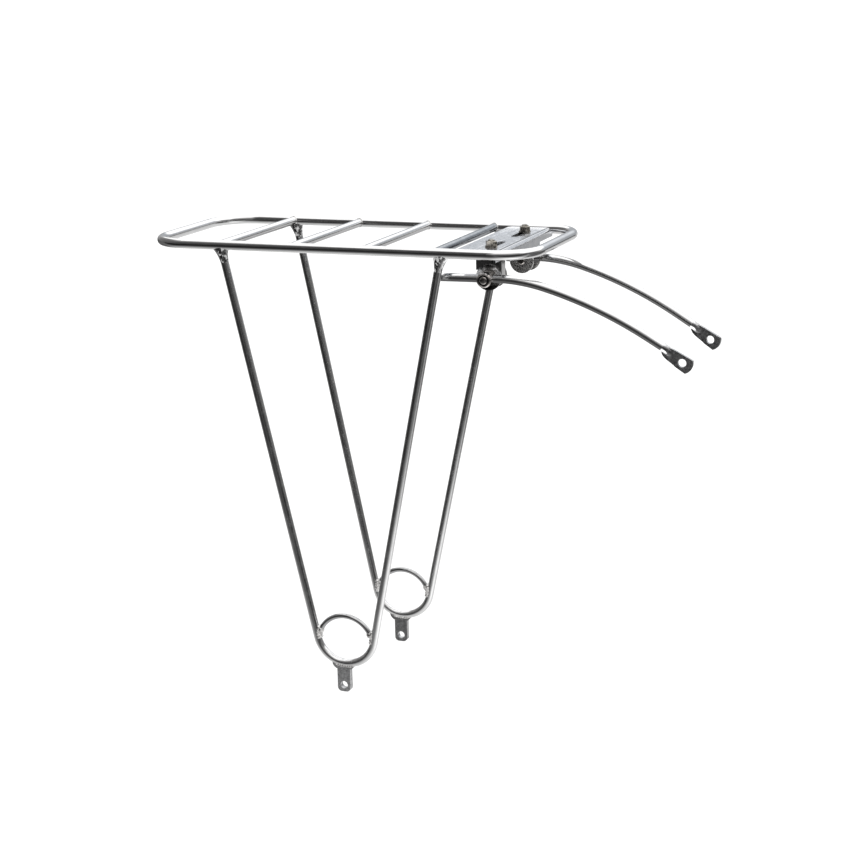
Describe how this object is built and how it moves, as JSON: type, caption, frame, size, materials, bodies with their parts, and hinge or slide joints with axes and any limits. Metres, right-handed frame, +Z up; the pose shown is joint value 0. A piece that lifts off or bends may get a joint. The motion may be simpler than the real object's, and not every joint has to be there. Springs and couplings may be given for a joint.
{
  "type": "bicycle rear rack",
  "caption": "Tubular steel bicycle rear rack with V-shaped, ring-bottomed legs and curved front stays on slotted swivel clamps.",
  "frame": {"origin": "midway between the two dropout eyelets, on the line through their holes", "axes": "+X forward along the bicycle, +Y to the bicycle's left, +Z up"},
  "size_m": [0.4556, 0.152, 0.3834],
  "materials": {
    "tube_steel": "polished stainless steel",
    "braze_steel": "polished weld or braze",
    "tab_steel": "polished flat steel",
    "plate_steel": "bright zinc-plated sheet",
    "yellow_zinc": "yellow-passivated zinc on steel",
    "clamp_casting": "satin",
    "disc_steel": "satin, grooved",
    "clamp_steel": "polished"
  },
  "bodies": {
    "rack": {"platform_loop": "tube_steel", "rear_cross_tube": "tube_steel", "second_cross_tube": "tube_steel", "third_cross_tube": "tube_steel", "front_cross_tube": "tube_steel", "clamp_plate": "plate_steel", "right_leg_tube": "tube_steel", "right_rear_lug": "braze_steel", "right_front_lug": "braze_steel", "right_ring_arc": "tube_steel", "right_ring_welds": "braze_steel", "right_dropout_tab": "tab_steel", "left_leg_tube": "tube_steel", "left_rear_lug": "braze_steel", "left_front_lug": "braze_steel", "left_ring_arc": "tube_steel", "left_ring_welds": "braze_steel", "left_dropout_tab": "tab_steel"},
    "right_slot_slider": {"right_slot_washer": "yellow_zinc", "right_slot_nut": "yellow_zinc"},
    "right_hanger": {"right_clamp_stud": "yellow_zinc", "right_clamp_block": "clamp_casting", "right_outer_disc": "disc_steel", "right_inner_disc": "disc_steel"},
    "right_swivel": {"right_eyebolt": "clamp_steel", "right_swivel_nut": "disc_steel"},
    "right_stay": {"right_stay_rod": "tube_steel", "right_stay_eyelet": "tab_steel"},
    "left_slot_slider": {"left_slot_washer": "yellow_zinc", "left_slot_nut": "yellow_zinc"},
    "left_hanger": {"left_clamp_stud": "yellow_zinc", "left_clamp_block": "clamp_casting", "left_outer_disc": "disc_steel", "left_inner_disc": "disc_steel"},
    "left_swivel": {"left_eyebolt": "clamp_steel", "left_swivel_nut": "disc_steel"},
    "left_stay": {"left_stay_rod": "tube_steel", "left_stay_eyelet": "tab_steel"}
  },
  "joints": [
    {"name": "right_slot_slide", "type": "slide", "parent": "rack", "child": "right_slot_slider", "axis": [0, 1, 0], "range_m": [-0.002, 0.024]},
    {"name": "right_clamp_turn", "type": "hinge", "parent": "right_slot_slider", "child": "right_hanger", "pos_m": [0.128, -0.0412, 0.3487], "axis": [0, 0, 1], "range_deg": [-15, 3]},
    {"name": "right_stay_tilt", "type": "hinge", "parent": "right_hanger", "child": "right_swivel", "pos_m": [0.128, -0.0412, 0.3487], "axis": [0.0523, -0.9986, 0], "range_deg": [-18, 15]},
    {"name": "right_stay_slide", "type": "slide", "parent": "right_swivel", "child": "right_stay", "axis": [0.9986, 0.0523, 0], "range_m": [0, 0.03]},
    {"name": "left_slot_slide", "type": "slide", "parent": "rack", "child": "left_slot_slider", "axis": [0, -1, 0], "range_m": [-0.002, 0.024]},
    {"name": "left_clamp_turn", "type": "hinge", "parent": "left_slot_slider", "child": "left_hanger", "pos_m": [0.128, 0.0412, 0.3487], "axis": [0, 0, -1], "range_deg": [-15, 3]},
    {"name": "left_stay_tilt", "type": "hinge", "parent": "left_hanger", "child": "left_swivel", "pos_m": [0.128, 0.0412, 0.3487], "axis": [-0.0523, -0.9986, 0], "range_deg": [-18, 15]},
    {"name": "left_stay_slide", "type": "slide", "parent": "left_swivel", "child": "left_stay", "axis": [0.9986, -0.0523, 0], "range_m": [0, 0.03]}
  ]
}
